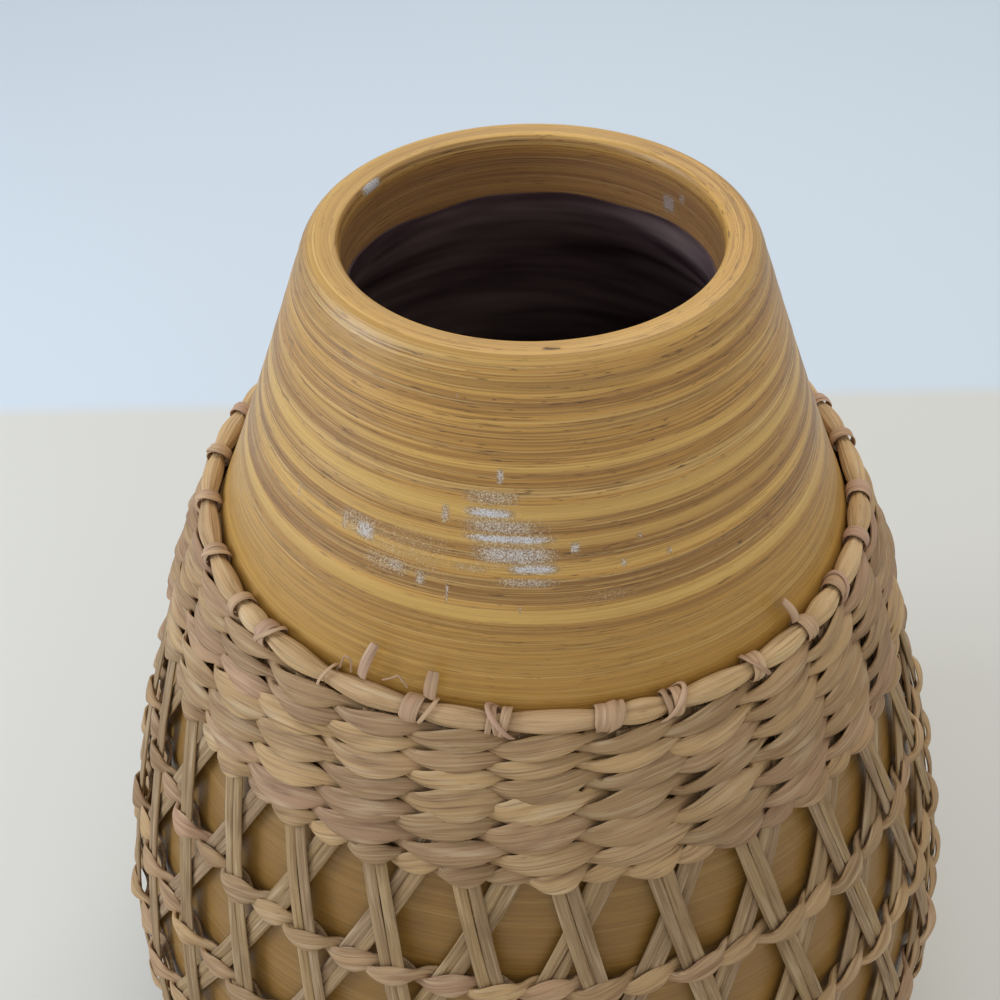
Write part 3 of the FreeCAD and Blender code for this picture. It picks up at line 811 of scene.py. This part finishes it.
def bundle(name, way, bind_angles):
    """A ring of bundled stems. Its radius swells by half a cosine between one wrap and the next, and its
    section has lobes for the stems, which turn slowly along it."""
    columns, rows = 30, 1400
    angle = bind_angles[0] + full_turn * np.arange(rows) / rows
    marks = np.append(bind_angles, bind_angles[0] + full_turn)
    share = np.interp(angle, marks, np.arange(len(marks)))
    swell = (1 - np.cos(full_turn * share)) / 2
    fullness = np.interp(share, np.arange(len(marks)) + 0.5, random.uniform(0.98, 1.14, len(marks)))
    waist = waist_share * bundle_waist_radius
    radius = waist + (bundle_radius * fullness - waist) * swell**0.62
    centre, normal = on_wall(np.full((1, rows), way), np.full((1, rows), bundle_out), angle[None])
    around = full_turn * np.arange(columns) / columns
    lobes = 0.045 * np.cos(5 * around + 2 * np.sin(7 * angle)[:, None])
    lobes = lobes + 0.02 * np.cos(11 * around + angle[:, None])
    reach = radius[:, None] * (1 + lobes * (1.8 - 1.2 * swell[:, None]))
    side = np.cross(normal, np.roll(centre, -1, axis=1) - centre)
    side /= np.linalg.norm(side, axis=-1, keepdims=True)
    points = centre[:, :, None] + side[:, :, None] * (np.cos(around) * reach)[None, ..., None]
    points = points + normal[:, :, None] * (np.sin(around) * reach)[None, ..., None]
    tone = random.uniform(0, 1, len(marks))[np.clip(share.astype(int), 0, len(marks) - 1)]
    piece = new_piece(
        name,
        points,
        straw_rush,
        ring=True,
        along=lengths(centre),
        across=np.abs(around - math.pi)[None, None] * bundle_radius,
        tone=tone[None, :, None],
    )
    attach(piece, "root")
    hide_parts(name)


# A wrap is up to 1.2 degrees off its place between two stakes. Those at the front are off like the real ones.
bind_shifts = np.radians(random.uniform(-1.2, 1.2, stake_count))
bind_shifts[10:18] = np.radians((-3.5, -2.8, 0.0, -0.4, 3.4, 0.5, 2.7, 2.1))
collar_bind_angles = first_stake + outer_turn(0.0) + spacing * (np.arange(stake_count) + 0.5) + bind_shifts
foot_bind_angles = first_stake + outer_turn(foot_bundle_way) + spacing * np.arange(stake_count)
bundle("collar_bundle", 0.0, collar_bind_angles)
bundle("foot_bundle", foot_bundle_way, foot_bind_angles)

# Each wrap is a narrow ribbon of split rush, wound a few turns round the bundle with its ends pulled under.
# Some wraps are broad and flat, and some have a last turn pulled across them as a knot.
ribbon_thickness = 0.45 * mm
ribbon_lift = 0.6 * mm
wrap_rush = flattened_rush("rush, split for binding", "#B08F70", "#C5A680", "#BC9886", "#84664C")


def ribbon_wraps(name, way, bind_angles, wraps):
    """Ribbons wound on a bundle. A wrap is (place in bind_angles, offset along the bundle, half length,
    turns, ribbon width, tilt, height above the bundle): it goes round while it moves along, tilted."""
    grids, acrosses, tones, alongs = [], [], [], []
    ring_radius = float(cubic(outside_stations, np.interp(way, wall_ways, wall_heights))[0]) + bundle_out
    rows, columns = 120, 10
    t = np.linspace(0, 1, rows)
    for place, offset, half_length, turns, width, tilt, above in wraps:
        around = full_turn * turns * t - math.pi / 2
        overlap = ribbon_thickness * (1 - np.cos(full_turn * t)) / 4
        radius = bundle_waist_radius + ribbon_lift + above + overlap
        along = offset + half_length * (2 * t - 1) + tilt * radius * np.sin(around)
        angle = bind_angles[place] + along / ring_radius
        centre, normal = on_wall(np.full(rows, way), np.full(rows, bundle_out), angle)
        downhill = np.cross(normal, np.stack([-np.sin(angle), np.cos(angle), 0 * angle], axis=-1))
        outward = normal * np.cos(around)[:, None] + downhill * np.sin(around)[:, None]
        centre = centre + outward * radius[:, None]
        narrowing = np.clip(np.minimum(t, 1 - t) * 12, 0.25, 1) * (1 + 0.15 * wander(t, 1.0, 5))
        grid, across = swept(
            centre[None],
            outward[None],
            (width * narrowing)[None],
            ribbon_thickness,
            (0.25 * wander(t, 1.0, 4))[None],
            columns=columns,
        )
        grids.append(grid)
        acrosses.append(across)
        alongs.append(lengths(centre[None]))
        tones.append(np.full((1, 1, 1), random.uniform(0, 1)))
    piece = new_piece(
        name,
        np.concatenate(grids),
        wrap_rush,
        along=np.concatenate(alongs),
        across=np.concatenate(acrosses),
        tone=np.concatenate(tones),
    )
    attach(piece, "root")
    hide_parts(name)


def plain_wraps(places):
    """A mix of narrow, broad and knotted wraps, one or two ribbons at each place."""
    wraps = []
    for place in places:
        half_length = random.uniform(1.1, 2.0) * mm
        width = random.uniform(1.4, 2.2) * mm
        wraps.append((place, 0.0, half_length, random.integers(2, 4), width, random.uniform(-0.2, 0.2), 0.0))
        if random.uniform() < 0.5:
            wraps.append((place, 0.0, 0.6 * mm, 1, 1.3 * mm, random.choice((-0.7, 0.7)), 0.35 * mm))
    return wraps


# The wraps at the front follow the real ones, from left to right.
front_wraps = [
    (9, 0.0, 1.3 * mm, 2, 1.7 * mm, 0.1, 0.0),
    (10, 0.0, 1.5 * mm, 3, 1.7 * mm, -0.1, 0.0),
    (10, 0.4 * mm, 0.5 * mm, 1, 1.3 * mm, 0.8, 0.4 * mm),
    (11, 0.0, 0.2 * mm, 1, 0.8 * mm, 0.35, 0.1 * mm),
    (12, -0.8 * mm, 1.2 * mm, 2, 3.0 * mm, 0.08, 0.1 * mm),
    (12, 2.6 * mm, 0.2 * mm, 1, 1.0 * mm, 0.55, 0.1 * mm),
    (13, -1.5 * mm, 0.3 * mm, 1, 1.4 * mm, 0.1, 0.0),
    (13, -0.1 * mm, 0.4 * mm, 1, 1.3 * mm, -0.25, 0.2 * mm),
    (13, 1.5 * mm, 0.7 * mm, 2, 1.5 * mm, 0.2, 0.2 * mm),
    (13, 1.0 * mm, 0.5 * mm, 1, 1.2 * mm, -0.9, 0.7 * mm),
    (14, 0.0, 2.5 * mm, 3, 3.3 * mm, 0.12, 0.0),
    (15, -1.2 * mm, 0.4 * mm, 1, 1.5 * mm, -0.15, 0.1 * mm),
    (15, 0.9 * mm, 0.8 * mm, 2, 1.6 * mm, 0.1, 0.1 * mm),
    (15, 0.0, 0.6 * mm, 1, 1.3 * mm, 0.9, 0.6 * mm),
    (16, 0.0, 1.4 * mm, 2, 1.9 * mm, 0.15, 0.0),
    (16, 0.6 * mm, 0.4 * mm, 1, 1.1 * mm, -0.8, 0.4 * mm),
    (17, 0.0, 1.5 * mm, 2, 2.2 * mm, -0.1, 0.0),
]
hidden_places = [place for place in range(stake_count) if not 9 <= place <= 17]
ribbon_wraps("collar_binders", 0.0, collar_bind_angles, front_wraps + plain_wraps(hidden_places))
ribbon_wraps("foot_binders", foot_bundle_way, foot_bind_angles, plain_wraps(range(stake_count)))

# Three cut ends of rush stand up behind the bundle at the collar, and dry out pinkish and a little curled.
# Two thin fibres stand beside them, one bent to a loop and one folded over.
loose_end_directions = np.radians((-119.2, -107.6, -44.5, -122.0, -115.5))
loose_end_widths = np.array((2.5, 3.0, 2.5, 0.4, 0.45)) * mm
cut_lengths = np.array((9.0, 6.5, 7.0)) * mm
cut_leans = np.array((2.2, 0.5, -2.4)) * mm
end_rows = 24
rise = np.linspace(0, 1, end_rows)
loop_height = 3.6 * mm * (1 - (2 * rise - 1) ** 4)
loop_lean = 1.7 * mm * (2 * rise - 1) * (1 - 0.3 * rise)
fold_height = 1.2 * mm + 2.6 * mm * (1 - np.abs(2 * rise - 1))
fold_lean = 9.0 * mm * rise * (1 - 0.35 * rise)
end_height = np.vstack([cut_lengths[:, None] * rise, loop_height, fold_height])
end_lean = np.vstack([cut_leans[:, None] * rise**1.3, loop_lean, fold_lean])
end_way = -bundle_reach - rush_gap - end_height
end_angle = loose_end_directions[:, None] + end_lean / collar_radius
end_out = bundle_out + 0.6 * mm * np.sin(math.pi * rise)
end_centre, end_normal = on_wall(end_way, end_out + 0 * end_way, end_angle)
end_grid, end_across = swept(
    end_centre,
    end_normal,
    loose_end_widths[:, None] * (1 - 0.2 * rise**3),
    np.minimum(0.6 * mm, loose_end_widths)[:, None],
    0.6 * rise - 0.2,
    crease=0.3,
)
loose_ends = new_piece(
    "loose_ends",
    end_grid,
    wrap_rush,
    along=lengths(end_centre),
    across=end_across,
    tone=random.uniform(0, 0.2, (len(loose_end_widths), 1, 1)),
)
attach(loose_ends, "root")
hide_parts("loose_ends")

# The vase stands on a pale floor of matt paper, cream near the vase. Further away it is pale blue, where it
# stands for the backdrop.
floor_half_width = 4.0
backdrop_start = 328 * mm
backdrop_fade = 6 * mm


def pale_floor():
    """Matt paper, cream near the vase and pale blue further away."""
    material, tree = new_material("matt paper sweep")
    corner = add(tree, "ShaderNodeTexCoord").outputs["Object"]
    split = add(tree, "ShaderNodeSeparateXYZ", {0: corner})
    fade = (backdrop_start - backdrop_fade, backdrop_start + backdrop_fade)
    paper = blended(tree, "#D2D2CC", "#CCD8E2", split.outputs["Y"], *fade)
    matt = add(tree, "ShaderNodeBsdfDiffuse", {"Color": paper})
    add(tree, "ShaderNodeOutputMaterial", {"Surface": matt.outputs[0]})
    return material


floor_mesh = bpy.data.meshes.new("floor")
floor_signs = ((-1, -1), (1, -1), (1, 1), (-1, 1))
floor_corners = [(x * floor_half_width, y * floor_half_width, 0) for x, y in floor_signs]
floor_mesh.from_pydata(floor_corners, [], [(0, 1, 2, 3)])
floor_mesh.materials.append(pale_floor())
floor = bpy.data.objects.new("floor", floor_mesh)
bpy.context.scene.collection.objects.link(floor)

# The light is soft daylight: a cool window on the left, a warmer ceiling above and behind, and a warm room in
# front. A pale sky fills in the rest.
world = bpy.data.worlds.new("soft daylight")
world.use_nodes = True
world.node_tree.nodes.clear()
sky = add(world.node_tree, "ShaderNodeBackground", {"Color": colour("#F3F6FA"), "Strength": 0.74})
add(world.node_tree, "ShaderNodeOutputWorld", {"Surface": sky.outputs[0]})
bpy.context.scene.world = world


def soft_lamp(name, place, target, size, power, code):
    """A square area lamp at a place, facing a target."""
    data = bpy.data.lights.new(name, "AREA")
    data.size = size
    data.energy = power
    data.color = colour(code)[:3]
    lamp = bpy.data.objects.new(name, data)
    aim = np.array(target) - np.array(place)
    yaw = math.atan2(aim[1], aim[0]) - math.pi / 2
    pitch = math.atan2(aim[2], math.hypot(aim[0], aim[1])) + math.pi / 2
    levelled = Matrix.Translation(place) @ Matrix.Rotation(yaw, 4, "Z")
    lamp.matrix_world = levelled @ Matrix.Rotation(pitch, 4, "X")
    bpy.context.scene.collection.objects.link(lamp)


lamp_target = (0, 0, 250 * mm)
soft_lamp("window", (-1.0, -0.1, 0.6), lamp_target, 0.5, 6.2, "#E4EEFF")
soft_lamp("ceiling", (0.2, 0.6, 1.2), lamp_target, 0.8, 4.5, "#FFF3E2")
soft_lamp("room", (0.3, -1.0, 1.0), lamp_target, 0.8, 1.6, "#FFF3E2")

# The camera stands close above the front of the vase, tilted down and rolled a little. The ellipses of the
# mouth and the outlines of the neck put it there.
camera_data = bpy.data.cameras.new("camera")
camera_data.lens = 51.98
camera_data.sensor_width = 36.0
camera_data.clip_start = 0.01
camera = bpy.data.objects.new("camera", camera_data)
camera_place = (-0.00845, -0.28489, 0.46865)
camera_tilt = math.radians(48.65)
camera_roll = math.radians(-1.276)
camera_aim = Matrix.Translation(camera_place) @ Matrix.Rotation(camera_tilt, 4, "X")
camera.matrix_world = camera_aim @ Matrix.Rotation(camera_roll, 4, "Z")
bpy.context.scene.collection.objects.link(camera)
bpy.context.scene.camera = camera
bpy.context.scene.view_settings.view_transform = "Standard"

bpy.context.view_layer.update()
